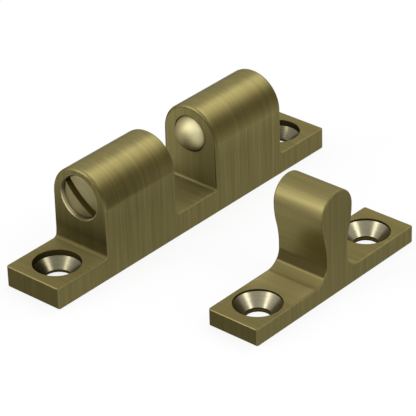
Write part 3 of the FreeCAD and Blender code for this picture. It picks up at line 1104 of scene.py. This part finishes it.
# The camera, at the photograph's viewing angle
VIEW_AZIMUTH = math.radians(-48.393)
VIEW_ELEVATION = math.radians(30.607)
VIEW_ROLL = math.radians(-1.7255)
VIEW_DISTANCE = 388.83 * MM
VIEW_RIGHT = 5.508 * MM
VIEW_UP = 0.599 * MM
FOCAL_PIXELS = 2585.1
IMAGE_PIXELS = 416
SENSOR_WIDTH = 36.0
CENTRE_RIGHT_PIXELS = 0.54
CENTRE_DOWN_PIXELS = 0.78


def view_axes():
    """The camera's right, up and back directions, before its roll."""
    back = Vector((
        math.sin(VIEW_AZIMUTH) * math.cos(VIEW_ELEVATION),
        -math.cos(VIEW_AZIMUTH) * math.cos(VIEW_ELEVATION),
        math.sin(VIEW_ELEVATION),
    ))
    right = Vector((math.cos(VIEW_AZIMUTH), math.sin(VIEW_AZIMUTH), 0))
    return right, back.cross(right), back


def make_camera():
    """The camera that sees the object as the photograph does."""
    right, up, back = view_axes()
    place = back * VIEW_DISTANCE + right * VIEW_RIGHT + up * VIEW_UP
    rolled_right = math.cos(VIEW_ROLL) * right + math.sin(VIEW_ROLL) * up
    rolled_up = -math.sin(VIEW_ROLL) * right + math.cos(VIEW_ROLL) * up
    data = bpy.data.cameras.new("camera")
    data.sensor_width = SENSOR_WIDTH
    data.lens = FOCAL_PIXELS / IMAGE_PIXELS * SENSOR_WIDTH
    data.shift_x = -CENTRE_RIGHT_PIXELS / IMAGE_PIXELS
    data.shift_y = CENTRE_DOWN_PIXELS / IMAGE_PIXELS
    data.clip_start = 0.01
    data.clip_end = 20.0
    camera = bpy.data.objects.new("camera", data)
    axes = Matrix((rolled_right, rolled_up, back)).transposed().to_4x4()
    camera.matrix_world = Matrix.Translation(place) @ axes
    SCENE.collection.objects.link(camera)
    SCENE.camera = camera


# The lamps: the direction each stands in, its size in metres and the brightness of its face
LAMP_DISTANCE = 1.2
LAMPS = {
    "softbox_right": ((0.64, -0.05, 0.76), (0.75, 0.75), 3.0),
    "softbox_back_left": ((-0.79, 0.44, 0.38), (0.5, 0.6), 3.6),
    "softbox_top_left": ((-0.59, 0.25, 0.77), (0.3, 0.3), 6.8),
    "softbox_front": ((0.18, -0.62, 0.77), (0.33, 0.33), 6.8),
    "softbox_left": ((-0.75, -0.18, 0.64), (0.35, 0.35), 2.2),
}

# The surround and the floor
WHITE = (1, 1, 1, 1)
SURROUND_STRENGTH = 0.7
BACKGROUND_STRENGTH = 0.985
FLOOR_HALF = 3.0
FLOOR_DROP = 0.02 * MM
FLOOR_GREY = (0.8, 0.8, 0.8, 1)
FLOOR_WHITENESS = 0.85


def softbox(name, direction, size, radiance):
    """A rectangular lamp that faces the object from a direction, with a given brightness of its face."""
    data = bpy.data.lights.new(name, "AREA")
    data.shape = "RECTANGLE"
    data.size, data.size_y = size
    data.energy = radiance * math.pi * size[0] * size[1]
    lamp = bpy.data.objects.new(name, data)
    towards = Vector(direction).normalized()
    lamp.location = towards * LAMP_DISTANCE
    lamp.rotation_mode = "QUATERNION"
    lamp.rotation_quaternion = towards.to_track_quat("Z", "Y")
    SCENE.collection.objects.link(lamp)


def seen_directly(nodes, links):
    """1 for rays from the camera and for mirrored and refracted rays, 0 for the rest."""
    path = nodes.new("ShaderNodeLightPath")
    value = path.outputs["Is Camera Ray"]
    for ray in ("Is Glossy Ray", "Is Transmission Ray"):
        either = nodes.new("ShaderNodeMath")
        either.operation = "MAXIMUM"
        links.new(value, either.inputs[0])
        links.new(path.outputs[ray], either.inputs[1])
        value = either.outputs["Value"]
    return value


def make_world():
    """White where it is seen directly or mirrored, and a softer surround for the light on the object."""
    world = bpy.data.worlds.new("surround")
    world.use_nodes = True
    nodes, links = world.node_tree.nodes, world.node_tree.links
    direct = seen_directly(nodes, links)
    output = nodes["World Output"]
    lit = nodes["Background"]
    lit.inputs["Color"].default_value = WHITE
    lit.inputs["Strength"].default_value = SURROUND_STRENGTH
    white = nodes.new("ShaderNodeBackground")
    white.inputs["Color"].default_value = WHITE
    white.inputs["Strength"].default_value = BACKGROUND_STRENGTH
    mix = nodes.new("ShaderNodeMixShader")
    links.new(direct, mix.inputs["Fac"])
    links.new(lit.outputs["Background"], mix.inputs[1])
    links.new(white.outputs["Background"], mix.inputs[2])
    links.new(mix.outputs["Shader"], output.inputs["Surface"])
    SCENE.world = world


def make_floor():
    """A plain pale floor that shows near white and keeps the object's shadow."""
    def build(bm):
        corners = ((-1, -1), (1, -1), (1, 1), (-1, 1))
        bm.faces.new([bm.verts.new((x * FLOOR_HALF, y * FLOOR_HALF, -FLOOR_DROP)) for x, y in corners])
    floor = new_object("floor", build)
    material = bpy.data.materials.new("pale_floor")
    material.use_nodes = True
    nodes, links = material.node_tree.nodes, material.node_tree.links
    nodes.remove(nodes["Principled BSDF"])
    direct = seen_directly(nodes, links)
    matte = nodes.new("ShaderNodeBsdfDiffuse")
    matte.inputs["Color"].default_value = FLOOR_GREY
    glow = nodes.new("ShaderNodeEmission")
    glow.inputs["Color"].default_value = WHITE
    glow.inputs["Strength"].default_value = 1.0
    share = nodes.new("ShaderNodeMath")
    share.operation = "MULTIPLY"
    share.inputs[1].default_value = FLOOR_WHITENESS
    links.new(direct, share.inputs[0])
    mix = nodes.new("ShaderNodeMixShader")
    links.new(share.outputs["Value"], mix.inputs["Fac"])
    links.new(matte.outputs["BSDF"], mix.inputs[1])
    links.new(glow.outputs["Emission"], mix.inputs[2])
    links.new(mix.outputs["Shader"], nodes["Material Output"].inputs["Surface"])
    floor.data.materials.append(material)


def make_stage():
    """The surround, the floor and the lamps."""
    SCENE.view_settings.view_transform = "Standard"
    make_world()
    make_floor()
    for name, (direction, size, radiance) in LAMPS.items():
        softbox(name, direction, size, radiance)


make_camera()
make_stage()
build_object()
